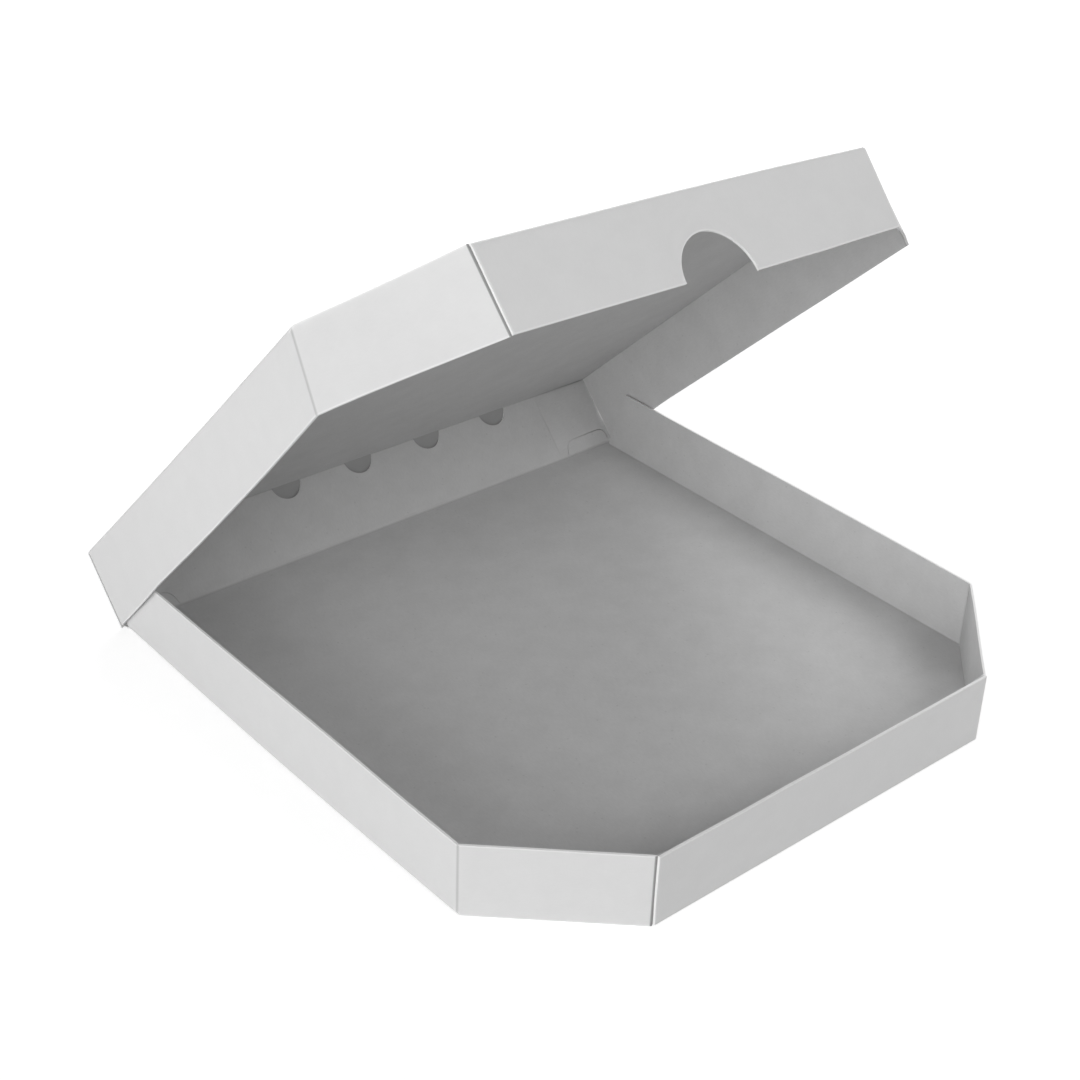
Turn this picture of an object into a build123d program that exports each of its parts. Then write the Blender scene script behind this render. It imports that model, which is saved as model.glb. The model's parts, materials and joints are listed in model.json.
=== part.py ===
from build123d import *
import os

# Pizza box with cut front corners: one die-cut sheet, folded and glued.
# Its lid turns at the rear crease. Lengths are in millimetres.
# X runs to the right, Y to the back and Z up, and the box stands on Z = 0.

# Board
board = 1.2                    # thickness of the sheet
fold_inside = 0.5              # inside radius that a crease leaves
seam = 0.4                     # slit where two cut edges meet
overrun = 8.0                  # how far a cutter passes the board

# Tray
tray_width = 330.0
tray_depth = 330.0
tray_height = 38.0
tray_corner_across = 60.0      # corner wall, measured along the front
tray_corner_along = 57.0       # corner wall, measured along the side
tray_flap_length = 36.0        # glue flap behind the front wall
side_wall_setback = 2.5        # rear end of a side wall to the rear edge of the floor
side_wall_slant = 9.0          # how far that end leans forward at the top

# Lid, measured with the box closed
lid_height = 44.0              # table to the outside of the top panel
lid_lift = 4.0                 # table to the lower edges
side_room = 2.25               # tray side wall to lid side wall
front_room = 2.8               # tray front wall to the glue flaps of the lid
lid_corner_across = 57.0
lid_corner_along = 54.0
lid_flap_length = 36.0
hinge_gap = 0.3                # rear edge of the floor to the bead of the crease
open_angle = 44.0              # how far the lid stands open

# Glue flaps of tray and lid
flap_taper = 4.0               # how far their long edges draw in towards the free end

# Rear corner flaps of the lid, folded inside the back wall
rear_flap_length = 40.0
rear_flap_top_gap = 1.0        # upper edge to the top panel
rear_flap_foot = 1.2           # floor to the lower edge
tongue_width = 26.0            # tongue-shaped die cut at the foot
tongue_height = 8.0
tongue_lean = 3.0              # how far its free end leans
tongue_radius = 4.0            # its rounded upper corner, next to the side wall
tongue_inset = 2.5             # inside of the side wall to the tongue
tongue_slit = 0.6

# Half-moon vents along the crease above the back wall
vent_count = 5
vent_pitch = 48.0
vent_width = 18.0
vent_drop = 8.5
vent_slit = 0.6                # cut between a vent and the tab that left it
tab_sag = 62.0                 # how far a tab hangs below the top panel, in degrees

# Thumb notch in the lower edge of the lid's front wall
notch_width = 40.0
notch_height = 20.0

# Places that follow from the sizes
fold_outside = fold_inside + board
half_tray = tray_width / 2
tray_front = -tray_depth / 2
tray_rear = tray_depth / 2
tray_side_fold = tray_front + tray_corner_along
tray_front_fold = half_tray - tray_corner_across
tray_glue_face = tray_front + board
half_lid = half_tray + side_room + board
lid_front = tray_front - front_room - board - board
lid_side_fold = lid_front + lid_corner_along
lid_front_fold = half_lid - lid_corner_across
lid_glue_face = lid_front + board
lid_under = lid_height - board
hinge_y = tray_rear + hinge_gap + board / 2
hinge_z = board / 2
back_inner = hinge_y - board / 2
back_outer = hinge_y + board / 2


def sheet_section(points):
    """Board-thick section, rounded at each fold. Its outer face runs through the points."""
    outside = FilletPolyline(*points, radius=fold_outside)
    return make_face(offset(outside, amount=board, side=Side.LEFT).edges())


def standing_wall(points, low, high):
    """Wall that follows the points in plan and stands from low to high."""
    return Pos(0, 0, low) * extrude(sheet_section(points), high - low, dir=(0, 0, 1))


def along_depth(section, front, rear):
    """Section drawn in X and Z, run from front to rear."""
    return extrude(Plane.XZ.offset(-rear) * section, rear - front, dir=(0, -1, 0))


def along_width(section, half):
    """Section drawn in Y and Z, run across the box by half its length to each side."""
    return extrude(Plane.YZ.offset(-half) * section, half + half, dir=(1, 0, 0))


def both_sides(shape):
    """A left-hand shape and its mirror image."""
    return shape + mirror(shape, about=Plane.YZ)


def inset_panel(half, side_fold, front_fold, glue_face, rear):
    """Flat panel with cut front corners, set in from the corner walls by the board and a seam."""
    gap = board + seam
    outline = Polyline(
        (-half, rear + gap),
        (-half, side_fold),
        (-front_fold, glue_face),
        (front_fold, glue_face),
        (half, side_fold),
        (half, rear + gap),
        close=True,
    )
    panel = offset(make_face(outline), amount=-gap, kind=Kind.INTERSECTION)
    return extrude(panel, board, dir=(0, 0, 1))


def corner_wall(half, side_fold, front_fold, glue_face, flap_length, low, high, flap_low, flap_high):
    """Left front corner wall with its tapered glue flap: one strip, folded at side wall and front wall."""
    strip = standing_wall(
        [
            (-half, side_fold + fold_outside + fold_outside),
            (-half, side_fold),
            (-front_fold, glue_face),
            (-front_fold + flap_length, glue_face),
        ],
        low,
        high,
    )
    flap_start = -front_fold + fold_outside
    flap_end = -front_fold + flap_length
    kept = Polyline(
        (flap_start, flap_low),
        (flap_end, flap_low + flap_taper),
        (flap_end, flap_high - flap_taper),
        (flap_start, flap_high),
        close=True,
    )
    zone = Polyline(
        (flap_start, low - overrun),
        (flap_end + overrun, low - overrun),
        (flap_end + overrun, high + overrun),
        (flap_start, high + overrun),
        close=True,
    )
    waste = make_face(zone) - make_face(kept)
    return strip - along_depth(waste, glue_face - overrun, glue_face + board + overrun)


def half_moon(width, drop):
    """Half-moon below its chord, with the chord's middle at the origin."""
    chord = Line((-width / 2, 0), (width / 2, 0))
    bow = ThreePointArc((width / 2, 0), (0, -drop), (-width / 2, 0))
    return make_face([chord, bow])


# Tray: side walls and floor
tray_sides = sheet_section(
    [
        (-half_tray, tray_height),
        (-half_tray, 0),
        (half_tray, 0),
        (half_tray, tray_height),
    ]
)
tray = along_depth(tray_sides, tray_side_fold, tray_rear - side_wall_setback)
tray += inset_panel(half_tray, tray_side_fold, tray_front_fold, tray_glue_face, tray_rear)

# Tray: rear ends of the side walls
wall_end = tray_rear - side_wall_setback
slant = make_face(
    Polyline(
        (wall_end, board),
        (wall_end - side_wall_slant, tray_height),
        (wall_end - side_wall_slant, tray_height + overrun),
        (wall_end + overrun, tray_height + overrun),
        (wall_end + overrun, board),
        close=True,
    )
)
tray -= along_width(slant, half_tray + overrun)

# Tray: front wall, folded up from the floor and cut off at its ends
tray_face = sheet_section([(tray_front, tray_height), (tray_front, 0), (tray_side_fold, 0)])
tray += along_width(tray_face, tray_front_fold - seam)

# Tray: corner walls and glue flaps
tray_corner = corner_wall(
    half_tray,
    tray_side_fold,
    tray_front_fold,
    tray_glue_face,
    tray_flap_length,
    0,
    tray_height,
    board + seam,
    tray_height - seam,
)
tray += both_sides(tray_corner)

# Lid: side walls and top panel, drawn closed
lid_sides = sheet_section(
    [
        (half_lid, lid_lift),
        (half_lid, lid_height),
        (-half_lid, lid_height),
        (-half_lid, lid_lift),
    ]
)
lid = along_depth(lid_sides, lid_side_fold, back_inner - fold_outside)
top_panel = inset_panel(half_lid, lid_side_fold, lid_front_fold, lid_glue_face, back_inner)
lid += Pos(0, 0, lid_under) * top_panel

# Lid: back wall with the bead of the crease that it turns on
back_face = sheet_section(
    [
        (back_outer, hinge_z),
        (back_outer, lid_height),
        (back_inner - overrun, lid_height),
    ]
)
bead = Pos(hinge_y, hinge_z) * Circle(board / 2)
back = along_width(back_face + bead, half_lid - seam)

# Lid: half-moon vents cut along the crease
vent_places = GridLocations(vent_pitch, 0, vent_count, 1)
vent_mouth = half_moon(vent_width, vent_drop)
vent_mouth += Pos(0, fold_outside / 2) * Rectangle(vent_width, fold_outside)
vents = Sketch() + [place * vent_mouth for place in vent_places]
back -= along_depth(Pos(0, lid_under) * vents, back_inner, back_outer + overrun)
lid += back

# Lid: the tabs that the vents leave, hanging from a rounded root on the top panel
tab_width = vent_width - vent_slit - vent_slit
tab_face = mirror(half_moon(tab_width, vent_drop - vent_slit), about=Plane.XZ)
tab = Rot(-tab_sag, 0, 0) * extrude(tab_face, board / 2, both=True)
tab += along_width(Circle(board / 2), tab_width / 2)
tab_root = Pos(0, back_inner, lid_under + board / 2)
lid += [tab_root * place * tab for place in vent_places]

# Lid: front wall with the thumb notch
lid_face = sheet_section(
    [
        (lid_side_fold, lid_height),
        (lid_front, lid_height),
        (lid_front, lid_lift),
    ]
)
front = along_width(lid_face, lid_front_fold - seam)
notch = mirror(half_moon(notch_width, notch_height), about=Plane.XZ)
notch += Pos(0, -overrun / 2) * Rectangle(notch_width, overrun)
lid += front - along_depth(Pos(0, lid_lift) * notch, lid_front - overrun, lid_glue_face)

# Lid: front corner walls and glue flaps
lid_corner = corner_wall(
    half_lid,
    lid_side_fold,
    lid_front_fold,
    lid_glue_face,
    lid_flap_length,
    lid_lift,
    lid_height,
    lid_lift + seam,
    lid_under - seam,
)

# Lid: rear corner flaps, folded in from the side walls, with a tongue cut at the foot
flap_foot = board + rear_flap_foot
rear_flap = standing_wall(
    [
        (-half_lid + rear_flap_length, back_inner),
        (-half_lid, back_inner),
        (-half_lid, back_inner - overrun),
    ],
    flap_foot,
    lid_under - rear_flap_top_gap,
)
tongue_near = -half_lid + board + tongue_inset
tongue_far = tongue_near + tongue_width
tongue = FilletPolyline(
    (tongue_near, flap_foot - tongue_slit),
    (tongue_near, flap_foot + tongue_height),
    (tongue_far, flap_foot + tongue_height),
    (tongue_far + tongue_lean, flap_foot - tongue_slit),
    radius=tongue_radius,
)
slit = make_face(offset(tongue, amount=tongue_slit, side=Side.RIGHT).edges())
rear_flap -= along_depth(slit, back_inner - board - overrun, back_inner)
lid += both_sides(lid_corner + rear_flap)

# Lid: turned open about the rear crease
lid = lid.rotate(Axis((0, hinge_y, hinge_z), (-1, 0, 0)), open_angle)

# Files, one for each side of the crease
os.makedirs("parts", exist_ok=True)
for name, shape in (("tray", tray), ("lid", lid)):
    solids = shape.solids()
    sound = all(solid.is_valid for solid in solids)
    print(name, len(solids), "solid", round(shape.volume), "mm3", "valid", sound)
    export_step(shape, "parts/" + name + ".step")
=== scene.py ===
# %% [markdown]
# # A folded pizza box of white-lined board
# The real box is one die-cut sheet. Its outside is coated white, its inside is plain pale grey, and every wall is the
# same sheet turned up at a pressed crease. The CAD model gives the places and the one moving crease. This lesson
# builds the sheet again as a fine mesh that can bow, twist and wear as board does, and then lights it.

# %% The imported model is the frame
import json

import bpy
import numpy as np
from mathutils import Matrix, Vector


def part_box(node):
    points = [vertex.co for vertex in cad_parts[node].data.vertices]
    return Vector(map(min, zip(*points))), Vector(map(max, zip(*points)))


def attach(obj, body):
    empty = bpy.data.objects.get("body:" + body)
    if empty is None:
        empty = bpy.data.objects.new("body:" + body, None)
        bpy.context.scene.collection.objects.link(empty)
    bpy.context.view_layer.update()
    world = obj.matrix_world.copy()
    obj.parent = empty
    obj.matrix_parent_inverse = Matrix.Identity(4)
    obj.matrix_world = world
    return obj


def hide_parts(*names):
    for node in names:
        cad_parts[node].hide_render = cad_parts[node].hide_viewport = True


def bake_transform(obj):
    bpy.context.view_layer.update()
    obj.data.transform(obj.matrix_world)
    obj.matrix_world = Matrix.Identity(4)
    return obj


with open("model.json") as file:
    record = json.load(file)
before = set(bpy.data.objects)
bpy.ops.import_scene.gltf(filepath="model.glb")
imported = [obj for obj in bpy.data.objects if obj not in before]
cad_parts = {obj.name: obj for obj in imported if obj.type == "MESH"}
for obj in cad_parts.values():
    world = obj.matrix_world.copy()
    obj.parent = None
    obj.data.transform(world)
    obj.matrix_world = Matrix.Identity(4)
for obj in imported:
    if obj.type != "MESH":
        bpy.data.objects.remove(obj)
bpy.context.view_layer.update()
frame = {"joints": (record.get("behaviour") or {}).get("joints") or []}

# %% [markdown]
# ## Sizes
# A folding carton is drawn in millimetres, so the sizes stay in millimetres here and are turned into metres only
# when a mesh is written. The tray's box and the hinge come from the frame, so the sheet lands on the CAD solids.

# %% Sizes of the board, the tray and the lid
MM = 0.001
board = 1.2                                   # thickness of the sheet
fold = 1.1                                    # radius of a crease, on the middle of the sheet
fold_outside = fold + board / 2
seam = 0.4                                    # slit where two cut edges meet
front_slit = 0.55                             # slit between a front wall's cut end and the corner fold beside it
touch = 0.05                                  # gap that keeps two touching faces out of one another
tray_low, tray_high = (np.array(corner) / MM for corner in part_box("tray"))
hinge = np.array(frame["joints"][0]["pos_m"]) / MM
open_angle = np.radians(44.0)                 # how far the lid stands open in the frame

half_tray, tray_top = tray_high[0], tray_high[2]
tray_front, tray_rear = tray_low[1], tray_high[1]
tray_corner_along, tray_corner_across = 57.0, 60.0      # corner wall, along the side and along the front
tray_fold_y, tray_fold_x = tray_front + tray_corner_along, half_tray - tray_corner_across
tray_glue_y = tray_front + board

side_room, front_room = 2.25, 2.8             # room between the walls of tray and lid, at the sides and in front
half_lid = half_tray + side_room + board
lid_low, lid_top = 4.0, 44.0                  # heights of the closed lid's lower edges and of its top
lid_front = tray_front - front_room - 2 * board
lid_corner_along, lid_corner_across = 54.0, 57.0
lid_fold_y, lid_fold_x = lid_front + lid_corner_along, half_lid - lid_corner_across
lid_glue_y = lid_front + board
back_inner, back_outer = hinge[1] - board / 2, hinge[1] + board / 2
flap_length, flap_taper = 36.0, 4.0
crease_reach = 2.4                            # how far the rear crease strip runs on each side of the hinge line
print("tray", np.round(tray_high - tray_low, 2), "hinge", np.round(hinge, 2))

# %% [markdown]
# ## The middle line of a folded strip
# Bent board keeps its length along its middle. So each strip of the sheet is a line through the middle of the
# board: straight runs joined by small arcs at the creases. Drawing the runs and then bevelling the corners would
# also work, but a line with known lengths gives each point its place on the flat blank, where grain and wear live.

# %% Samples along a run
ends = np.array((0.0, 0.35, 0.9, 2.0, 4.5))   # distances of the samples next to an end


def stations(start, stop, pitch, near=ends):
    """Samples from start to stop: close together at both ends, where creases and cut edges lie, and about pitch
    apart between them."""
    inner = abs(stop - start) - 2 * near[-1]
    count = max(int(round(inner / pitch)), 1)
    along = np.concatenate([near, near[-1] + inner * np.arange(1, count) / count, abs(stop - start) - near[::-1]])
    return start + np.sign(stop - start) * along


def shares(length, pitch):
    """The same samples, as fractions of a run of the given length."""
    return stations(0, length, pitch) / length


print("a run of 40 mm is sampled at", np.round(stations(0, 40.0, 10.0), 1))

# %% The folded line
def folded_line(corners, runs, bend=8):
    """Middle line of a strip whose outer face runs through the corners, with the board on the left. Each corner
    moves in by half the board along the mitre of its two runs, and gives way to an arc of the fold radius that
    touches both. runs holds, for each straight run, the fractions of its length that are sampled. Returns the
    points, their length along the strip, and their distance from the nearest crease."""
    corners = np.asarray(corners, float)
    heading = np.diff(corners, axis=0)
    heading /= np.linalg.norm(heading, axis=1, keepdims=True)
    left = np.stack([-heading[:, 1], heading[:, 0]], axis=1)
    mitre = (left[:-1] + left[1:]) / (1 + np.sum(left[:-1] * left[1:], axis=1, keepdims=True))
    middle = corners + board / 2 * np.vstack([left[:1], mitre, left[-1:]])
    turn = np.arccos(np.clip(np.sum(heading[:-1] * heading[1:], axis=1), -1, 1))
    cut = np.concatenate([[0], fold * np.tan(turn / 2), [0]])
    points, flat, creases, done = [], [], [], 0.0
    for k, run in enumerate(runs):
        first, last = middle[k] + cut[k] * heading[k], middle[k + 1] - cut[k + 1] * heading[k]
        length = np.linalg.norm(last - first)
        points.append(first + run[:, None] * (last - first))
        flat.append(done + run * length)
        done += length
        if k < len(turn):
            angle = np.linspace(0, turn[k], bend + 1)[1:-1, None]
            points.append(last + fold * (left[k] * (1 - np.cos(angle)) + heading[k] * np.sin(angle)))
            flat.append(done + fold * angle[:, 0])
            creases.append(done + fold * turn[k] / 2)
            done += fold * turn[k]
    flat = np.concatenate(flat)
    reach = np.abs(flat[:, None] - np.array(creases)).min(axis=1)
    return np.concatenate(points), flat, reach


angle_line = folded_line([(0, 20.0), (0, 0), (20.0, 0)], [shares(20.0, 5.0)] * 2)
print("two 20 mm runs and their fold are", round(float(angle_line[1][-1]), 2), "mm long on the middle of the board")

# %% [markdown]
# ## Patches and thickness
# A panel or a strip is one grid of points, and neighbours share the points on their common line, so the patches
# join into one sheet when equal points are merged. Blender's Solidify could give the sheet its thickness. Here the
# two faces are moved apart along the normals instead, because the cut edge then knows how deep into the board
# each point lies, and the board can be pressed thinner along its creases and on its glued flaps.

# %% Joining patches
def patch(sheet, x, y, z, blank_x, blank_y, reach, outward, ease=1.0, wear_and_shade=0.0, thick=1.0, keep=None):
    """Adds one grid patch. The arrays broadcast to one shape of rows by columns: the place, the place on the blank,
    the distance to the nearest crease, how freely the board may bow (0 on a glued flap), how worn its crease is or how
    deep the painted shade on it is (-1 marks a vent's tab, painted in shade), and its share of the full thickness. keep
    says which cells are board; the others are cut out. Rows are turned round where needed, so that cells face outwards."""
    grid = np.stack(np.broadcast_arrays(x, y, z, blank_x, blank_y, reach, ease, wear_and_shade, thick), axis=-1).astype(float)
    keep = np.ones((grid.shape[0] - 1, grid.shape[1] - 1), bool) if keep is None else keep
    normal = np.cross(grid[0, 1, :3] - grid[0, 0, :3], grid[1, 0, :3] - grid[0, 0, :3])
    turned = -1 if normal @ np.array(outward) < 0 else 1
    sheet.append((grid[::turned], keep[::turned]))


def joined(sheet):
    """All patches as one net: points nearer than a micrometre become one, and each kept cell becomes a quad. Points
    that no quad uses are dropped. Columns: x, y, z, blank x, blank y, reach, ease, wear and painted shade, thick."""
    start, quads = 0, []
    for grid, keep in sheet:
        index = start + np.arange(grid.shape[0] * grid.shape[1]).reshape(grid.shape[:2])
        cells = np.stack([index[:-1, :-1], index[:-1, 1:], index[1:, 1:], index[1:, :-1]], axis=-1)
        quads.append(cells[keep])
        start += index.size
    points = np.concatenate([grid.reshape(-1, 9) for grid, keep in sheet])
    _, first, back = np.unique(np.round(points[:, :3], 3), axis=0, return_index=True, return_inverse=True)
    used, quads = np.unique(back.reshape(-1)[np.concatenate(quads)], return_inverse=True)
    return points[first][used], quads.reshape(-1, 4)


def cut_edges(quads):
    """Edges that only one quad uses, in that quad's direction. A quad that closes to a triangle has one edge of no
    length, which is left out."""
    edges = np.concatenate([quads[:, [k, (k + 1) % 4]] for k in range(4)])
    edges = edges[edges[:, 0] != edges[:, 1]]
    _, place, count = np.unique(np.sort(edges, axis=1), axis=0, return_index=True, return_counts=True)
    return edges[place[count == 1]]


def net_normals(place, quads):
    """Each point's normal: the mean of the unit normals of the quads round it."""
    normal = np.cross(place[quads[:, 2]] - place[quads[:, 0]], place[quads[:, 3]] - place[quads[:, 1]])
    normal /= np.linalg.norm(normal, axis=1, keepdims=True)
    lean = np.zeros_like(place)
    np.add.at(lean, quads.reshape(-1), np.repeat(normal, 4, axis=0))
    return lean / np.linalg.norm(lean, axis=1, keepdims=True)


pair_of_cells = []
patch(pair_of_cells, np.array([0.0, 1.0, 2.0]), np.array([[0.0], [1.0]]), 0.0, 0.0, 0.0, 9.0, (0, 0, 1))
print("two joined cells have", len(cut_edges(joined(pair_of_cells)[1])), "cut edges")

# %% Giving the sheet its thickness
pressed_share, pressed_width = 0.22, 0.9      # how much thinner a crease is, and how far that reaches


def thick_board(name, points, quads, finishes):
    """The net as board: each point moves half the thickness along its normal to the outer face and half against it
    to the inner face, and a strip of quads closes every cut edge. Near a crease the board is pressed thinner. Where
    a glued flap is pressed thin towards its end, its outer face stays where it is. Depth in the board, place on the
    blank, wear with its painted shade, and distance to the nearest crease and cut edge are kept as attributes."""
    place, reach, glued = points[:, :3], points[:, 5], points[:, 6] < 0.05
    lean, rim = net_normals(place, quads), cut_edges(quads)
    edge_points = place[np.unique(rim)]
    near_edge = np.concatenate(
        [np.sqrt(((part[:, None] - edge_points) ** 2).sum(-1).min(1)) for part in np.array_split(place, 80)])
    half = board / 2 * (1 - pressed_share * np.exp(-(reach / pressed_width) ** 2))
    thin = half * points[:, 8]
    middle = place + lean * (half - thin)[:, None]

    count = len(points)
    faces = np.concatenate([quads, quads[:, ::-1] + count,
                            np.stack([rim[:, 1], rim[:, 0], rim[:, 0] + count, rim[:, 1] + count], axis=1)])
    finish = np.concatenate([np.repeat([0, 1], len(quads)), np.where(glued[rim].all(axis=1), 1, 2)])
    mesh = bpy.data.meshes.new(name)
    both_faces = np.concatenate([middle + lean * thin[:, None], middle - lean * thin[:, None]])
    corners = [list(dict.fromkeys(face)) for face in faces.tolist()]         # three where a quad closes to a triangle
    mesh.from_pydata(both_faces * MM, [], corners)
    for material in finishes:
        mesh.materials.append(material)
    mesh.polygons.foreach_set("material_index", finish.astype(np.int32))
    blank = np.tile(np.column_stack([points[:, 3:5], np.zeros(count)]), (2, 1)) * MM
    mesh.attributes.new("blank", "FLOAT_VECTOR", "POINT").data.foreach_set("vector", blank.reshape(-1))
    marks = {"depth": np.repeat([1.0, -1.0], count), "crease": np.tile(reach, 2), "cut": np.tile(near_edge, 2),
             "wear_and_shade": np.tile(points[:, 7], 2)}
    for label, value in marks.items():
        mesh.attributes.new(label, "FLOAT", "POINT").data.foreach_set("value", value.astype(np.float32))
    mesh.shade_smooth()
    mesh.set_sharp_from_angle(angle=np.radians(40))
    mesh.update()
    piece = bpy.data.objects.new(name, mesh)
    bpy.context.scene.collection.objects.link(piece)
    print(name, len(mesh.vertices), "points", len(mesh.polygons), "faces")
    return piece


print("board", board, "mm, pressed to", round(board * (1 - pressed_share), 2), "mm on a crease")

# %% [markdown]
# ## Colours and nodes
# Colours are written as sRGB hex values, as they are read from a picture, and one function turns them into the
# linear values that the shader works with. Nodes could be added and linked one by one, but a few small functions,
# each named for what it does to the look, keep the finishes short.

# %% Colour and node helpers
def linear(code):
    """sRGB hex to linear RGBA: each channel follows the sRGB curve, with its straight foot below 0.04045."""
    share = np.array([int(code[k:k + 2], 16) for k in (1, 3, 5)]) / 255
    return (*np.where(share <= 0.04045, share / 12.92, ((share + 0.055) / 1.055) ** 2.4), 1.0)


def feed(tree, made, inputs):
    """Gives a node its inputs, each a value or another node's output."""
    for name, value in inputs.items():
        if isinstance(value, bpy.types.NodeSocket):
            tree.links.new(value, made.inputs[name])
        else:
            made.inputs[name].default_value = value


def node(tree, kind, settings=None, inputs=None):
    """Adds a node with its properties and its inputs."""
    made = tree.nodes.new(kind)
    for name, value in (settings or {}).items():
        setattr(made, name, value)
    feed(tree, made, inputs or {})
    return made


def mark(tree, label):
    """One of the values that thick_board keeps at each point."""
    return node(tree, "ShaderNodeAttribute", {"attribute_name": label}).outputs["Fac"]


def noise(tree, place, size, detail, roughness=0.5):
    """Cloudy noise from 0 to 1, in patches of about the given size."""
    return node(tree, "ShaderNodeTexNoise", None,
                {"Vector": place, "Scale": 1 / size, "Detail": detail, "Roughness": roughness}).outputs[0]


def flecks(tree, place, width, length, detail):
    """Noise drawn out along the run of the paper machine, in flecks of the given width and length."""
    drawn = node(tree, "ShaderNodeMapping", None, {"Vector": place, "Scale": (1 / width, 1 / length, 1.0)})
    return noise(tree, drawn.outputs[0], 1.0, detail)


def maths(tree, operation, *values, clamped=False):
    """A Math node on two or three values."""
    return node(tree, "ShaderNodeMath", {"operation": operation, "use_clamp": clamped},
                dict(enumerate(values))).outputs[0]


def graded(tree, value, low, high, first=0.0, last=1.0, kind="LINEAR"):
    """first where the value is at or below low, last where it is at or above high, and a slope between them."""
    return node(tree, "ShaderNodeMapRange", {"interpolation_type": kind},
                {"Value": value, "From Min": low, "From Max": high, "To Min": first, "To Max": last}).outputs[0]


def mixed(tree, share, first, last):
    """A mix of two colours, each a hex value or an output: the first at share 0 and the last at share 1. A Mix node
    has inputs for every kind of data, and 6, 7 and output 2 are those for colours."""
    first, last = (linear(colour) if isinstance(colour, str) else colour for colour in (first, last))
    return node(tree, "ShaderNodeMix", {"data_type": "RGBA"}, {0: share, 6: first, 7: last}).outputs[2]


def bump(tree, height, strength, rise, **below):
    """The normal of a relief that is rise high. below may name the Normal that it lies on."""
    return node(tree, "ShaderNodeBump", None,
                {"Strength": strength, "Distance": rise, "Height": height, **below}).outputs[0]


def new_finish(name):
    """An empty material with its tree, its Principled shader, and the place on the flat blank as coordinates."""
    material = bpy.data.materials.new(name)
    material.use_nodes = True
    tree = material.node_tree
    shader = tree.nodes["Principled BSDF"]
    blank = node(tree, "ShaderNodeAttribute", {"attribute_name": "blank"}).outputs["Vector"]
    return material, tree, shader, blank


print("#808080 is", round(float(linear("#808080")[0]), 3), "in linear light")

# %% [markdown]
# ## The white outside
# The outside is bleached fibre with a thin clay coating, rolled smooth between steel cylinders. To the eye it is a
# cool white that is nearly even, with a faint cloudiness from the fibre under the coating, a dull sheen, and fine
# tooth in raking light. Along a cut the fibre shows. Along a crease the coating has cracked a little, and the front
# folds, which lie in the slits beside the front walls, carry dark lines of painted shade. A scanned picture could give
# all this. Noise laid on the flat blank is used instead, because it runs on across the folds as the sheet does.

# %% White coated liner
white_liner, tree, shader, blank = new_finish("white_clay_coated_liner_calendered")
# The cloudiness of the fibre is about 14 mm across.
cloud = noise(tree, blank, 14 * MM, 3.0, 0.6)
# Fibres are about 0.03 mm wide, so they are drawn as flecks 0.8 mm wide and 2.5 mm long to show in the render.
fibre = flecks(tree, blank, 0.8 * MM, 2.5 * MM, 2.0)
mottle = maths(tree, "MULTIPLY_ADD", fibre, 0.45, cloud)
paper = mixed(tree, graded(tree, mottle, 0.55, 0.95), "#DEDEDE", "#E1E1E1")
frayed = graded(tree, mark(tree, "cut"), 0.2, 1.0, 0.7, 0.0, "SMOOTHSTEP")
edged = mixed(tree, frayed, paper, "#F2F2F2")
# 969696 lines the creases: cracked coating at the side folds, and painted shade at the front folds, in the slits beside
#                           the front walls.
crease_line = graded(tree, mark(tree, "crease"), 0.05, 0.75, 1.4, 0.0, "SMOOTHSTEP")
crack_and_slit_shade = maths(tree, "MULTIPLY", crease_line, mark(tree, "wear_and_shade"), clamped=True)
creased = mixed(tree, crack_and_slit_shade, edged, "#969696")
sheen = graded(tree, cloud, 0.0, 1.0, 0.44, 0.56)
# The tooth of coated board is finer than 0.1 mm; it is drawn at 0.5 mm so that raking light can find it.
tooth = bump(tree, noise(tree, blank, 0.5 * MM, 2.0), 0.35, 0.03 * MM)
rolled = bump(tree, cloud, 0.5, 0.12 * MM, Normal=tooth)
feed(tree, shader, {"Base Color": creased, "Roughness": sheen, "Normal": rolled, "IOR": 1.48,
                    "Specular IOR Level": 0.35})
print("finish", white_liner.name)

# %% [markdown]
# ## The pale grey inside
# The inside is uncoated liner made from recycled fibre. It is duller than the outside, has no sheen, and carries
# faint dark flecks where other papers went into the pulp. Most creases carry a slightly dark line of painted shade
# here. Where the board was folded back on itself, at the rear corners, the fibre has broken up in pale streaks. Noise
# of two sizes and a Voronoi pattern draw it on the same blank, so that no picture is needed.

# %% Grey recycled liner
grey_liner, tree, shader, blank = new_finish("grey_recycled_liner_uncoated")
cloud = noise(tree, blank, 18 * MM, 4.0, 0.62)
# Fibre bundles, drawn 0.9 mm wide and 3 mm long.
fibre = flecks(tree, blank, 0.9 * MM, 3.0 * MM, 3.0)
mottle = maths(tree, "MULTIPLY_ADD", fibre, 0.7, cloud)
pulp = mixed(tree, graded(tree, mottle, 0.6, 1.1), "#C5C5C5", "#CDCDCD")
# Specks of other paper are 0.3 to 1 mm across and 6 mm apart.
speck = node(tree, "ShaderNodeTexVoronoi", None, {"Vector": blank, "Scale": 1 / (6 * MM)}).outputs["Distance"]
specked = mixed(tree, graded(tree, speck, 0.05, 0.11, 0.35, 0.0), pulp, "#AAAAAA")
crease, wear_and_shade = mark(tree, "crease"), mark(tree, "wear_and_shade")
# Each crease gets a slightly dark line of painted shade, #A2A2A2.
shaded = mixed(tree, graded(tree, crease, 0.3, 1.3, 0.35, 0.0, "SMOOTHSTEP"), specked, "#A2A2A2")
broken = graded(tree, crease, 0.3, 2.0, 1.0, 0.0, "SMOOTHSTEP")
streaks = maths(tree, "MULTIPLY", broken, graded(tree, cloud, 0.38, 0.6))
torn = maths(tree, "MULTIPLY", streaks, graded(tree, wear_and_shade, 0.5, 1.0))
creased = mixed(tree, torn, shaded, "#EAEAEA")
# The vents' tabs, marked -1, are painted a darker grey as shade, so that the vents read as dark half-moons.
tab_painted_shade = mixed(tree, graded(tree, wear_and_shade, -1.0, 0.0, 1.0, 0.0), creased, "#A3A3A3")
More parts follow.
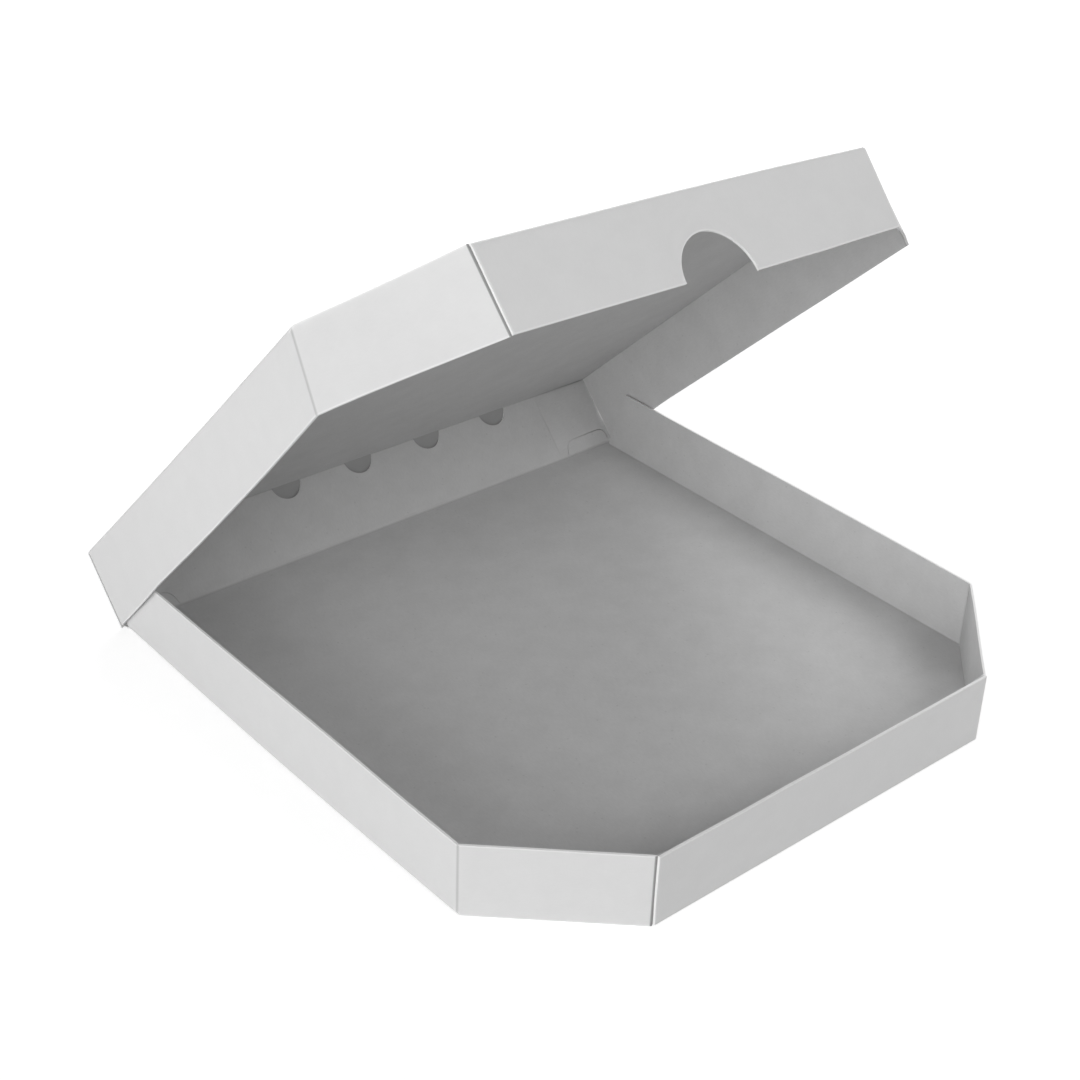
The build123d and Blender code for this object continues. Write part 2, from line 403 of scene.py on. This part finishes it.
# The tooth of uncoated liner is about 0.2 mm; it is drawn at 0.7 mm to show.
tooth = bump(tree, noise(tree, blank, 0.7 * MM, 2.0), 0.5, 0.06 * MM)
feed(tree, shader, {"Base Color": tab_painted_shade, "Normal": tooth, "Roughness": 0.82, "Specular IOR Level": 0.2})
print("finish", grey_liner.name)

# %% [markdown]
# ## The cut edge
# The die leaves a sheared edge. It shows the white fibre of the coated side, a slightly duller middle and a thin
# grey line of the inside, and it is rough enough to have no sheen at all. Stripes could be drawn by place, but the
# depth in the board that each point keeps follows every edge by itself.

# %% Sheared board edge
raw_edge, tree, shader, blank = new_finish("die_cut_board_edge_sheared")
# The sheared fibre stands in tufts about 0.4 mm long.
tuft = noise(tree, blank, 0.4 * MM, 2.0)
ragged = maths(tree, "MULTIPLY_ADD", tuft, 0.5, mark(tree, "depth"))
body = mixed(tree, graded(tree, ragged, 0.5, 1.0), "#F2F2F2", "#FAFAFA")
plies = mixed(tree, graded(tree, ragged, -0.72, -0.5), "#D2D2D2", body)
feed(tree, shader, {"Base Color": plies, "Normal": bump(tree, tuft, 0.6, 0.1 * MM), "Roughness": 0.92,
                    "Specular IOR Level": 0.15})
finishes = (white_liner, grey_liner, raw_edge)
print("finish", raw_edge.name)

# %% [markdown]
# ## The tray
# The tray is the floor with its walls turned up. The side walls and the floor are one profile carried from front to
# rear. Bevelled boxes would be quicker, but would have no cut ends, slits or creases. The left wall's rear end
# starts upright and both lean forward above.

# %% Tray: side walls and floor
tray_sheet = []
half_floor = half_tray - fold_outside
wall_rise = shares(tray_top - fold_outside, 6.5)                              # from the upper edge down
floor_across = stations(-half_floor, half_floor, 9.0)
section, section_flat, section_reach = folded_line(
    [(-half_tray, tray_top), (-half_tray, 0), (half_tray, 0), (half_tray, tray_top)],
    [wall_rise, (floor_across + half_floor) / (2 * half_floor), 1 - wall_rise[::-1]])
section_flat -= section_flat.mean()
tray_start = tray_fold_y + fold_outside
floor_end = hinge[1] - crease_reach
climb = np.clip((section[:, 1] - fold_outside) / (tray_top - fold_outside), 0, 1)
in_bend = section[:, 1] < fold_outside + 1e-6
at_left, end_slant = section[:, 0] < 0, 10.5
upright = 0.35                                                                # share of the left end that is upright
slant = np.where(at_left, np.clip((climb - upright) / (1 - upright), 0, 1), climb)
section_end = np.where(in_bend, floor_end, tray_rear - np.where(at_left, 1.3, 1.0) - end_slant * slant)
depth_share = shares(270.0, 10.0)[:, None]
tray_y = tray_start + depth_share * (section_end - tray_start)
patch(tray_sheet, section[:, 0], tray_y, section[:, 1], section_flat, tray_y, section_reach, (-1, 0, 0))
hood_y = tray_start - np.array([[0.0], [0.7], [1.4]])                        # closes the foot of each side fold
for side in (-1, 1):
    bend = in_bend & (side * section[:, 0] > half_floor - 1e-6)
    patch(tray_sheet, section[bend, 0], hood_y, section[bend, 1], section_flat[bend], hood_y, section_reach[bend],
          (side, 0, -1))
print("tray sides", tray_y.shape)

# %% [markdown]
# ## The tray's front wall
# The front wall is folded up from the floor and cut off beside the corner folds. Wall and front floor could be two
# patches. Here they are one grid: its rows run down the wall, round the crease and back along the floor, and each
# row is as wide as the sheet is there, so that the floor gets its cut corners.

# %% Tray: front wall, running on from the floor
front_line, front_flat, front_reach = folded_line(
    [(tray_front, tray_top), (tray_front, 0), (tray_start, 0)],
    [wall_rise, shares(tray_start - tray_front - fold_outside, 8.0)])
row_y, row_z = front_line[:, :1], front_line[:, 1:]
slope = (half_tray - tray_fold_x) / (tray_fold_y - tray_glue_y)
inset = half_tray - (board + touch) * np.hypot(1, slope) - slope * np.clip(tray_fold_y - row_y, 0, None)
half_front = np.where(row_z > board / 2 + 0.01, tray_fold_x - front_slit, np.minimum(half_floor, inset))
half_front[-1] = half_floor
front_x = floor_across / half_floor * half_front
patch(tray_sheet, front_x, row_y, row_z, front_x, tray_start - (front_flat[-1] - front_flat)[:, None],
      front_reach[:, None], (0, -1, 0))
print("tray front", front_x.shape)


# %% [markdown]
# ## Corner walls and glue flaps
# Each corner wall runs on from a side wall and ends in a tapered flap that is glued behind the front wall. A cut and
# bent box would lose the crease lines, so the strip is one folded line, carried up from its lower to its upper edge.

# %% Corner walls with their glue flaps
side_fold_wear, front_fold_slit_shade = 0.32, 0.9   # how dark the two folds of the strip are drawn: worn at the side fold, painted shade in the front fold's slit


def corner_strip(sheet, side, half, fold_y, fold_x, glue_y, start, rise, edges, crease_z):
    """Strip that runs on from a side wall: round the side fold, along the corner wall, round the front fold and
    along the flap. Its rows start at the side wall's heights. edges gives the heights of its two long edges at
    marks along the strip, with straight lines between them."""
    line, flat, reach = folded_line(
        [(-half, start), (-half, fold_y), (-fold_x, glue_y), (-fold_x + flap_length, glue_y)],
        [np.linspace(0, 1, 4), shares(80.0, 6.5), shares(flap_length, 6.0)])
    wall_end = flat[-1] - flap_length + 1.0
    marks = np.array([0.0, 1.2, 2.4, wall_end - 14.0, wall_end - 0.6, wall_end + 0.6, flat[-1]])
    first, second = (np.interp(flat, marks, edge) for edge in edges)
    height = first + rise[:, None] * (second - first)
    blank_x = side * (half - fold_outside + fold * np.pi / 2 + np.abs(height - crease_z))
    # The side fold is worn; the front fold, in its slit beside the front wall, gets painted shade.
    crack_and_slit_shade = np.interp(flat, [0, 1, 30, 32], [0, side_fold_wear, side_fold_wear, front_fold_slit_shade])
    patch(sheet, -side * line[:, 0], line[:, 1], height, blank_x, start - flat, reach, (side, 0, 0),
          np.interp(flat, [0, wall_end - 6, wall_end], [1, 1, 0]), crack_and_slit_shade,
          np.interp(flat, [flat[-1] - 10, flat[-1]], [1, 0.08]))


for side in (-1, 1):
    corner_strip(tray_sheet, side, half_tray, tray_fold_y, tray_fold_x, tray_glue_y + 2 * touch, tray_start, wall_rise,
                 ([tray_top] * 5 + [tray_top - seam, tray_top - seam - flap_taper],
                  [fold_outside, fold_outside, 0.0, 0.0, 0.0, board + seam, board + seam + flap_taper]), fold_outside)
tray_points, tray_quads = joined(tray_sheet)
print("tray net", len(tray_points), "points", len(cut_edges(tray_quads)), "cut edges")

# %% [markdown]
# ## How board gives
# Board is never quite flat. Between its creases it bows by a few tenths of a millimetre over a hand's width, and the
# creases themselves stay straight. A few long sine waves along the normal say that well enough, and they are held
# to nothing at the creases and on the glued flaps. A Displace modifier could do it too, but would move the creases.
# The walls of this tray also lean and bulge a little from use.

# %% Slow waves, and the tray's piece
def ripple(u, v, seed):
    """Sum of eight sine waves 50 to 170 mm long, in directions and phases from a fixed seed, about -1 to 1."""
    draw = np.random.default_rng(seed)
    way, phase = draw.uniform(0, 2 * np.pi, (2, 8))
    length = draw.uniform(50, 170, 8)
    swing = (u[:, None] * np.cos(way) + v[:, None] * np.sin(way)) * 2 * np.pi / length + phase
    return np.sin(swing).sum(axis=1) / 4


def bowed(points, quads, amount, seed):
    """The net moved along its normals by slow waves, held at the creases and on the flaps."""
    swing = amount * ripple(points[:, 3], points[:, 4], seed) * points[:, 6] * points[:, 5] / (points[:, 5] + 10)
    points[:, :3] += net_normals(points[:, :3], quads) * swing[:, None]
    return points


right_lean, left_bulge, left_toe, front_shift = 1.5, 1.6, 1.3, 1.8


def settled_tray(place):
    """The tray as use left it. The right wall's upper edge leans out by 1.5 mm, the left wall's lower crease bulges
    by 1.6 mm in the middle and its rear end leans out by 1.3 mm, and the front wall's right end stands 1.8 mm further
    out than drawn."""
    x, y, z = place.T
    along = np.clip((y - tray_fold_y) / (tray_rear - tray_fold_y), 0, 1)
    up = np.clip(z / tray_top, 0, 1)
    lean = right_lean * up * np.sin(np.pi / 2 * np.clip(along / 0.4, 0, 1)) * (x > half_floor)
    bulge = left_bulge * (1 - up) * np.sin(np.pi * along) * np.clip(-x / half_tray, 0, 1) ** 4
    to_front = np.clip((tray_fold_y - y) / (tray_fold_y - tray_front), 0, 1)
    shift = front_shift * np.clip(x / tray_fold_x, 0, 1) ** 2 * to_front
    at_rear = np.clip((y - tray_rear + 40) / 40, 0, 1) ** 2
    toe = left_toe * at_rear * np.clip((z - board / 2) / 4, 0, 1) * (x < -half_floor)
    return np.stack([x + lean - bulge - toe + shift, y, z], axis=1)


held = tray_points[:, 6].copy()
tray_points[:, 6] *= np.clip((tray_points[:, 2] - board) / 12, 0, 1)         # the floor and the walls' feet stay put
tray_points = bowed(tray_points, tray_quads, 0.35, 3)
tray_points[:, :3], tray_points[:, 6] = settled_tray(tray_points[:, :3]), held
tray_board = thick_board("tray_board", tray_points, tray_quads, finishes)
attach(tray_board, "tray")
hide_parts("tray")

# %% [markdown]
# ## The lid
# The lid is made like the tray, upside down, and it carries the back wall. All its columns run through the whole top
# panel, from the notch in the front wall to the vents in the back wall, so they are set where those need them. The
# lid could be drawn open, but it is drawn closed, where its walls are upright, and turned open last.

# %% Lid: columns across the top panel, and rows up the walls
lid_sheet = []
half_top = half_lid - fold_outside
half_face = lid_fold_x - front_slit
wall_top = lid_top - fold_outside
vent_pitch, vent_half, vent_drop = 48.0, 9.0, 8.5
vent_centres = vent_pitch * np.arange(-2, 3)
notch_half, notch_height = 20.0, 20.0
vent_columns = (vent_centres[:, None] + vent_half * np.cos(np.linspace(np.pi, 0, 19))).reshape(-1)
notch_columns = notch_half * half_top / half_face * np.cos(np.linspace(np.pi, 0, 31))
notch_columns = notch_columns[np.abs(notch_columns) > vent_half + 0.7]
wanted = np.concatenate([vent_columns, notch_columns])
spread = stations(-half_top, half_top, 8.0)
spread = spread[np.abs(spread[:, None] - wanted).min(axis=1) > 2.5]
top_across = np.unique(np.round(np.concatenate([wanted, spread]), 6))
flap_low, flap_high = board + 0.9, lid_top - board - 1.0                     # rear corner flap's foot and top
tongue_bridge, tongue_top, slit = 1.5, 8.0, 0.4                              # die-cut tongue at the flap's foot
tongue_rows = np.array([tongue_bridge, 4.0, 5.5, 6.8, 7.6, tongue_top, tongue_top + slit]) / (flap_high - flap_low)
lid_rise = shares(wall_top - lid_low, 7.0)                                   # from the lower edge to the crease
lid_rise = lid_rise[np.abs(lid_rise[:, None] - tongue_rows).min(axis=1) > 0.012]
lid_rise = np.sort(np.concatenate([lid_rise, tongue_rows]))
print("lid", len(top_across), "columns across,", len(lid_rise), "rows up the walls")

# %% Lid: side walls and top panel
lid_section, lid_flat, lid_reach = folded_line(
    [(half_lid, lid_low), (half_lid, lid_top), (-half_lid, lid_top), (-half_lid, lid_low)],
    [lid_rise, (half_top - top_across[::-1]) / (2 * half_top), 1 - lid_rise[::-1]])
lid_flat = lid_flat.mean() - lid_flat
lid_start, lid_end = lid_fold_y + fold_outside, back_inner - fold_outside - 0.3
lid_y = stations(lid_start, lid_end, 10.0)[:, None]
patch(lid_sheet, lid_section[:, 0], lid_y, lid_section[:, 1], lid_flat, lid_y, lid_reach, (1, 0, 0))
print("lid sides", lid_y.shape[0], "rows", len(lid_section), "columns")

# %% [markdown]
# ## The thumb notch and the lid's corners
# The lower edge of the front wall has a half-round notch for the thumb. A Boolean cutter could make it. Here each
# column of the wall ends at the notch's edge instead, so that the rows close up above it and the edge is smooth.

# %% Lid: front wall with the thumb notch
lid_line, lid_line_flat, lid_line_reach = folded_line(
    [(lid_start, lid_top), (lid_front, lid_top), (lid_front, lid_low)],
    [shares(lid_start - lid_front - fold_outside, 8.0), 1 - lid_rise[::-1]])
row_y, row_z = lid_line[:, :1], lid_line[:, 1:]
slope = (half_lid - lid_fold_x) / (lid_fold_y - lid_glue_y)
inset = half_lid - (board + touch) * np.hypot(1, slope) - slope * np.clip(lid_fold_y - row_y, 0, None)
half_row = np.where(row_z < lid_top - board / 2 - 0.01, half_face, np.minimum(half_top, inset))
half_row[0] = half_top
face_x = top_across / half_top * half_row
notch_x = np.clip(top_across / half_top * half_face / notch_half, -1, 1)
lower_edge = lid_low + notch_height * np.sqrt(1 - notch_x ** 2)
down = np.clip((wall_top - row_z) / (wall_top - lid_low), 0, 1)
face_z = np.where(row_z < wall_top, wall_top + down * (lower_edge - wall_top), row_z)
patch(lid_sheet, face_x, row_y, face_z, face_x, lid_start - lid_line_flat[:, None], lid_line_reach[:, None], (0, 0, 1))
print("lid front", face_z.shape, "notch", 2 * notch_half, "by", notch_height)

# %% Lid: front corner walls and glue flaps
for side in (-1, 1):
    corner_strip(lid_sheet, side, half_lid, lid_fold_y, lid_fold_x, lid_glue_y + 2 * touch, lid_start, lid_rise,
                 ([lid_low] * 5 + [lid_low + seam, lid_low + seam + flap_taper],
                  [wall_top, wall_top, lid_top, lid_top, lid_top, lid_top - board - seam,
                   lid_top - board - seam - flap_taper]), wall_top)
print("lid corners", len(lid_sheet), "patches so far")

# %% [markdown]
# ## The back wall and its vents
# Along the crease above the back wall five half-moon vents are cut, and folding the crease leaves each half-moon
# hanging from the top panel as a tab. As at the notch, the wall's columns end at the edge of a vent, and
# the strip round the crease is made in the stretches between the vents. The tabs are patches of their own, and
# their inner faces are painted darker as shade.

# %% Lid: back wall with the vents
rear_foot = hinge[2] + crease_reach
back_line, back_flat, back_reach = folded_line(
    [(back_outer, rear_foot), (back_outer, lid_top), (lid_end, lid_top)],
    [shares(wall_top - rear_foot, 7.0), np.linspace(0, 1, 4)])
back_blank = lid_end + back_flat[-1] - back_flat[:, None]
wall_rows = int(np.searchsorted(back_line[:, 1], wall_top + 1e-6))
from_vent = np.abs(top_across[:, None] - vent_centres).min(axis=1)
vent_radius = (vent_half ** 2 + vent_drop ** 2) / (2 * vent_drop)
vent_bow = np.sqrt(vent_radius ** 2 - np.clip(from_vent, 0, vent_half) ** 2)
vent_edge = lid_top - board - vent_drop + vent_radius - vent_bow
upper_edge = np.where(from_vent <= vent_half + 1e-6, np.minimum(vent_edge, wall_top), wall_top)
widen = np.sign(top_across) * np.clip((np.abs(top_across) - 140) / (half_top - 140), 0, 1) * (fold_outside - seam)
rows = slice(0, wall_rows)
climb = (back_line[rows, 1:] - rear_foot) / (wall_top - rear_foot)
patch(lid_sheet, top_across + widen, back_line[rows, :1], rear_foot + climb * (upper_edge - rear_foot),
      top_across, back_blank[rows], np.minimum(back_reach[rows, None], climb * 34 + 1.0), (0, 1, 0))
rows = slice(wall_rows - 1, None)
widening = np.clip((back_line[rows, :1] - hinge[1]) / fold + 1, 0, 1)
vent_ends = (vent_centres[:, None] + vent_half * np.array([-1, 1])).reshape(-1)
borders = np.concatenate([[-half_top], vent_ends, [half_top]])
for left, right in borders.reshape(-1, 2):
    span = (top_across > left - 1e-4) & (top_across < right + 1e-4)
    patch(lid_sheet, top_across[span] + widening * widen[span], back_line[rows, :1], back_line[rows, 1:],
          top_across[span], back_blank[rows], back_reach[rows, None], (0, 1, 0))
print("vents at", vent_centres, "wide", 2 * vent_half, "deep", vent_drop)

# %% Lid: tabs that the vents leave
tab_sag, tab_half, tab_depth, tab_bend = np.radians(68.0), vent_half - 0.1, vent_drop + 1.4, 1.3
root, tip = np.linspace(0, back_inner + 0.6 - lid_end, 9)[:, None], np.linspace(0, 1, 9)[1:, None]
for centre in vent_centres:
    x = top_across[np.abs(top_across - centre) < vent_half + 1e-4] - centre
    x = np.where(np.arange(len(root) + len(tip))[:, None] > 0, tab_half / vent_half, 1.0) * x
    arc = tab_depth * np.clip(1 - np.abs(x[-1] / tab_half) ** 3, 0, None) ** (1 / 3)          # a full half-moon
    along = np.concatenate([root + 0 * arc, root[-1] + tip * arc])
    turn = np.clip((along - root[-1]) / tab_bend + tab_sag, 0, tab_sag)
    straight, beyond = np.minimum(along, root[-1] - tab_bend * tab_sag), np.clip(along - root[-1], 0, None)
    # Past its root each tab is marked -1, so that its inner face is painted darker as shade.
    patch(lid_sheet, centre + x, lid_end + straight + tab_bend * np.sin(turn) + beyond * np.cos(tab_sag),
          lid_top - board / 2 - tab_bend * (1 - np.cos(turn)) - beyond * np.sin(tab_sag),
          centre + x, lid_end + along, 9.0, (0, 0, 1), 0.0, np.where(along > root[-1] - 0.8, -1.0, 0.0))
print("tabs hang by", round(float(np.degrees(tab_sag))), "degrees")

# %% Lid: hoods over the upper rear corners and the front side folds
for hood_y in (back_line[-4:, :1], lid_start - np.array([[0.0], [0.7], [1.4]])):
    for side in (-1, 1):
        bend = (side * lid_section[:, 0] > half_top - 1e-6) & (lid_section[:, 1] > wall_top - 1e-6)
        patch(lid_sheet, lid_section[bend, 0], hood_y, lid_section[bend, 1], lid_flat[bend], hood_y, lid_reach[bend],
              (side, 0, 1))
print("hoods", len(hood_y), "rows", int(bend.sum()), "columns")

# %% [markdown]
# ## The rear corner flaps
# Each side wall of the lid ends in a flap that is turned in and glued to the back wall. A tongue is die-cut at its
# foot. A Boolean cutter would leave long thin faces round such a slit. Here the grid itself is bent, so that its
# lines follow the rounded slit, and the cells in the slit are left out.

# %% Lid: rear corner flaps with the tongue cut
near, far, lean, rounding = 3.1, 31.0, 3.0, 4.0                             # from the side wall's middle, inwards
rear_flap, calm = 40.0, 20.0                                                # its length, and where rows are level again
flap_reach_in = rear_flap - board / 2
inward = np.array([flap_reach_in, 39.05, 38.5, 37.4, 36.2, far + lean + slit, far + lean, 30.0, 26.0, 22.0, 18.0, 14.0,
                   10.0, 6.5, near, near - slit, fold])
flap_line, flap_flat, flap_crease = folded_line(
    [(-half_lid + rear_flap, back_inner - 2 * touch), (-half_lid, back_inner - 2 * touch), (-half_lid, lid_end)],
    [(flap_reach_in - inward) / (flap_reach_in - fold), np.linspace(0, 1, 3)])
from_side = flap_line[:, 0] + half_lid - board / 2
rise = lid_rise[:, None] * (flap_high - flap_low)                           # height above the flap's foot
in_slit = (from_side < near - 0.1) | (from_side > far + lean + 0.1)
radius = np.where(in_slit, rounding + 0.9 * slit, rounding)
rounded = radius - np.sqrt(radius ** 2 - np.clip(rise - tongue_top + rounding, 0, radius) ** 2)
settle = np.clip((calm - rise) / (calm - tongue_top - slit), 0, 1)
near_pull = np.interp(from_side, [fold, near - slit, near, 14.0], [0, 1, 1, 0]) * rounded
far_pull = np.interp(from_side, [18.0, far + lean, far + lean + slit, 38.5], [0, 1, 1, 0])
far_pull = far_pull * (rounded + lean * np.clip(rise / tongue_top, 0, 1))
flap_x = flap_line[:, 0] + settle * (near_pull - far_pull)
middle_u, middle_v = (from_side[1:] + from_side[:-1]) / 2, (rise[1:] + rise[:-1]) / 2
beside = (middle_u > near - slit) & (middle_u < far + lean + slit) & (middle_v < tongue_top + slit)
inside = (middle_u > near) & (middle_u < far + lean) & (middle_v < tongue_top)
attached = (middle_u < near) & (middle_v < tongue_bridge)
turn_in = np.clip(from_side / 2.4, 0, 1)
low_edge = lid_low + turn_in * (flap_low - lid_low)
height = low_edge + lid_rise[:, None] * (wall_top + turn_in * (flap_high - wall_top) - low_edge)
for side in (-1, 1):
    patch(lid_sheet, -side * flap_x, flap_line[:, 1], height, side * (half_top + fold * np.pi / 2 + wall_top - height),
          lid_end + flap_flat[-1] - flap_flat, flap_crease, (0, 1, 0), 0.0, 1.0,
          np.interp(from_side, [8.0, flap_reach_in], [1, 0.05]), ~beside | inside | attached)
print("rear flaps", height.shape, "cells left out", int((beside & ~inside & ~attached).sum()))

# %% [markdown]
# ## The lid after some use
# An open lid does not stay true. This one is twisted, so that its left front corner stands higher than its right,
# its top panel hangs a little, and its left wall flares at the lower front fold. A Lattice modifier could bend it.
# Smooth shifts of the closed lid, given as formulas, keep the back wall on the hinge line.

# %% Lid: settling, opening and thickness
lid_points, lid_quads = joined(lid_sheet)
print("lid net", len(lid_points), "points", len(cut_edges(lid_quads)), "cut edges")
lid_points = bowed(lid_points, lid_quads, 0.4, 8)


left_up, right_down, panel_hang, fold_bulge = 5.0, 3.5, 1.4, 2.4
flare_out, flare_ahead, flare_up = 7.5, 3.0, 2.0
end_droop, end_swing, wall_sag, rear_run = 1.8, 2.0, (0, 2.6, 2.1, 1.0, 0), 2.3


def settled_lid(place):
    """The closed lid as use left it. The twist raises the left front corner by 5 mm and lowers the right one by
    3.5 mm, in proportion to the distance from the hinge. The top panel hangs by 1.4 mm in its middle. At the left
    front fold the lid bulges up by 2.4 mm, and the wall's lower edge moves out by 7.5 mm and up by 2 mm more, less
    towards the crease above, the rear and the seam. The right end of the front wall droops by 1.8 mm and swings in by
    2 mm, and its lower edge hangs by 2.6 mm just right of the notch. The side walls' lower edges run down by 2.3 mm
    to the rear, where they meet the back wall."""
    x, y, z = place.T
    share_y = np.clip((hinge[1] - y) / (hinge[1] - lid_front), 0, 1)
    twist = share_y * (left_up * (half_lid - x) - right_down * (half_lid + x)) / (2 * half_lid)
    panel = np.clip((z - wall_top) / (lid_top - board / 2 - wall_top), 0, 1)
    hang = panel_hang * panel * np.cos(np.clip(np.abs(x) / half_lid, 0, 1) * np.pi / 2) * np.sin(share_y * np.pi)
    below = np.clip((wall_top - z) / (wall_top - lid_low), 0, 1)
    to_seam = np.clip((lid_fold_y - y) / (lid_fold_y - lid_glue_y - board), 0, 1)
    to_rear = np.clip((y - lid_fold_y) / (lid_end - lid_fold_y), 0, 1)
    at_fold = np.cos(to_seam * np.pi / 2) * (1 - to_rear) ** 2
    flare = below * at_fold * (x < -lid_fold_x)
    bulge = fold_bulge * at_fold * np.clip((-x - 60) / (half_lid - 60), 0, 1) ** 2
    at_front = np.interp(y, [lid_front, lid_fold_y, lid_fold_y + 60], [1, 0.5, 0])
    droop = at_front * np.interp(x, [0, 55, lid_fold_x, half_lid], [0, 0.3, 1, 0])
    swing = below * droop * np.clip((lid_fold_y - y) / (lid_fold_y - lid_front), 0, 1)
    sag = below * np.interp(x, [0, 20, 60, 85, 110], wall_sag) * (y < lid_front + board)
    at_side = np.clip((np.abs(x) - half_lid + 3.0) / 2.0, 0, 1)
    runs_down = rear_run * at_side * np.clip((y - lid_end + 60) / 60, 0, 1) * np.clip((lid_low + 10 - z) / 10, 0, 1)
    lift = twist + bulge + flare_up * flare - end_droop * droop - sag - hang - runs_down
    return np.stack([x - flare_out * flare, y - flare_ahead * flare + end_swing * swing, z + lift], axis=1)


def opened(place, angle):
    """The closed lid turned open about the hinge line: back and up, with the front edge rising."""
    c, s = np.cos(angle), np.sin(angle)
    y, z = place[:, 1] - hinge[1], place[:, 2] - hinge[2]
    return np.stack([place[:, 0], hinge[1] + y * c + z * s, hinge[2] - y * s + z * c], axis=1)


lid_points[:, :3] = opened(settled_lid(lid_points[:, :3]), open_angle)
lid_board = thick_board("lid_board", lid_points, lid_quads, finishes)
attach(lid_board, "lid")
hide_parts("lid")

# %% [markdown]
# ## The rear crease
# Tray and lid are one sheet that bends along the rear crease each time the box is opened. A short strip of board
# closes the gap between floor and back wall, drawn bent as the lid stands open: its front edge meets the tray's
# floor and its rear edge the lid's back wall.

# %% Rear crease strip
up = np.array([np.sin(open_angle), np.cos(open_angle)])
start, corner, end = np.array([floor_end, hinge[2]]), hinge[1:], hinge[1:] + crease_reach * up
share = np.linspace(0, 1, 15)[:, None]
bend_line = (1 - share) ** 2 * start + 2 * share * (1 - share) * corner + share ** 2 * end
strip_half = half_tray - seam + share * (half_lid - half_tray)
strip_x = stations(-1, 1, 0.12, ends / half_lid) * strip_half
crease_sheet = []
patch(crease_sheet, strip_x, bend_line[:, :1], bend_line[:, 1:], strip_x, floor_end + share * 2 * crease_reach,
      np.abs(share - 0.5) * 2 * crease_reach, (0, 0, -1))
crease_points, crease_quads = joined(crease_sheet)
rear_crease = thick_board("rear_crease", crease_points, crease_quads, finishes)
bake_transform(rear_crease)

# %% [markdown]
# ## Floor, light and camera
# The box stands on a pale floor that runs out of sight. Two broad lamps stand low on the left, which makes the left
# walls the brightest and lets light in under the lid. A higher one in front and one behind fill the rest, with a faint
# even sky. A picture of a studio could light the box too, but plain lamps keep its colours as they are written. The
# floor adds light of its own to what the camera sees, so that it is white and keeps the box's soft shadow.

# %% Floor
def seen_directly(tree):
    """1 where the camera looks, straight or by way of a glossy or clear surface, and 0 for light that falls on
    things: the largest of three Light Path outputs."""
    rays = node(tree, "ShaderNodeLightPath").outputs
    seen = maths(tree, "MAXIMUM", rays["Is Camera Ray"], rays["Is Glossy Ray"])
    return maths(tree, "MAXIMUM", seen, rays["Is Transmission Ray"])


side = 8.0                                    # half the floor's width, in metres
floor_mesh = bpy.data.meshes.new("studio_floor")
floor_mesh.from_pydata([(-side, -side, 0), (side, -side, 0), (side, side, 0), (-side, side, 0)], [], [(0, 1, 2, 3)])
floor = bpy.data.objects.new("studio_floor", floor_mesh)
bpy.context.scene.collection.objects.link(floor)
paint = bpy.data.materials.new("matt_white_studio_floor")
paint.use_nodes = True
tree = paint.node_tree
tree.nodes.remove(tree.nodes["Principled BSDF"])
# The glow grows from near the box to 1.5 m away, so that no horizon shows.
place = node(tree, "ShaderNodeTexCoord").outputs["Object"]
away = node(tree, "ShaderNodeVectorMath", {"operation": "LENGTH"}, {0: place}).outputs["Value"]
open_floor = graded(tree, away, 0.4, 1.5, 0.66, 1.0, "SMOOTHSTEP")
lift = maths(tree, "MULTIPLY", seen_directly(tree), open_floor)
matt = node(tree, "ShaderNodeBsdfDiffuse", None, {"Color": linear("#C3C3C3")})
glow = node(tree, "ShaderNodeEmission", None, {"Color": (1, 1, 1, 1), "Strength": lift})
both = node(tree, "ShaderNodeAddShader", None, {0: matt.outputs[0], 1: glow.outputs[0]})
tree.links.new(both.outputs[0], tree.nodes["Material Output"].inputs["Surface"])
floor_mesh.materials.append(paint)
print("floor", 2 * side, "m wide")

# %% Sky
world = bpy.data.worlds.new("studio")
bpy.context.scene.world = world
world.use_nodes = True
tree = world.node_tree
sky_light, sky_seen = 0.22, 1.0
level = graded(tree, seen_directly(tree), 0.0, 1.0, sky_light, sky_seen)
feed(tree, tree.nodes["Background"], {"Strength": level, "Color": (1, 1, 1, 1)})
print("sky gives", sky_light)

# %% Lamps
def lamp(name, turn, rise, power):
    """A square lamp, 1.2 m wide and 2 m from the box, that looks at it from a turn to the right of the front (left if
    negative) and a rise above the floor, both in degrees."""
    turn, rise = np.radians((turn, rise))
    toward = Vector((np.sin(turn) * np.cos(rise), -np.cos(turn) * np.cos(rise), np.sin(rise)))
    data = bpy.data.lights.new(name, "AREA")
    data.size, data.energy = 1.2, power
    made = bpy.data.objects.new(name, data)
    made.location = Vector((0, 0, 0.08)) + toward * 2.0
    made.rotation_mode = "QUATERNION"
    made.rotation_quaternion = toward.to_track_quat("Z", "Y")
    bpy.context.scene.collection.objects.link(made)
    print(name, power, "W")


lamp("left_front_softbox", -64, 15, 17.5)
lamp("left_softbox", -92, 7, 11.5)
lamp("front_softbox", 22, 40, 13.0)
lamp("right_rear_softbox", 140, 28, 22.0)

# %% Camera
# Turn, rise and roll in degrees, the point that it looks at and its distance in metres, as fitted to the picture.
turn, rise, roll = np.radians([-41.104, 31.113, 2.074])
back = np.array([np.sin(turn) * np.cos(rise), -np.cos(turn) * np.cos(rise), np.sin(rise)])
right = np.array([np.cos(turn), np.sin(turn), 0])
up = np.cross(back, right)
right, up = np.cos(roll) * right + np.sin(roll) * up, np.cos(roll) * up - np.sin(roll) * right
target, distance = np.array([0.035673, 0.077352, 0.021681]), 1.03217
camera = bpy.data.objects.new("camera", bpy.data.cameras.new("camera"))
camera.data.sensor_width, camera.data.lens = 36.0, 64.33
placing = np.eye(4)
placing[:3] = np.column_stack([right, up, back, target + back * distance])
camera.matrix_world = Matrix(placing.tolist())
bpy.context.scene.collection.objects.link(camera)
bpy.context.scene.camera = camera
bpy.context.scene.view_settings.view_transform = "Standard"
print("camera at", np.round(placing[:3, 3], 4))
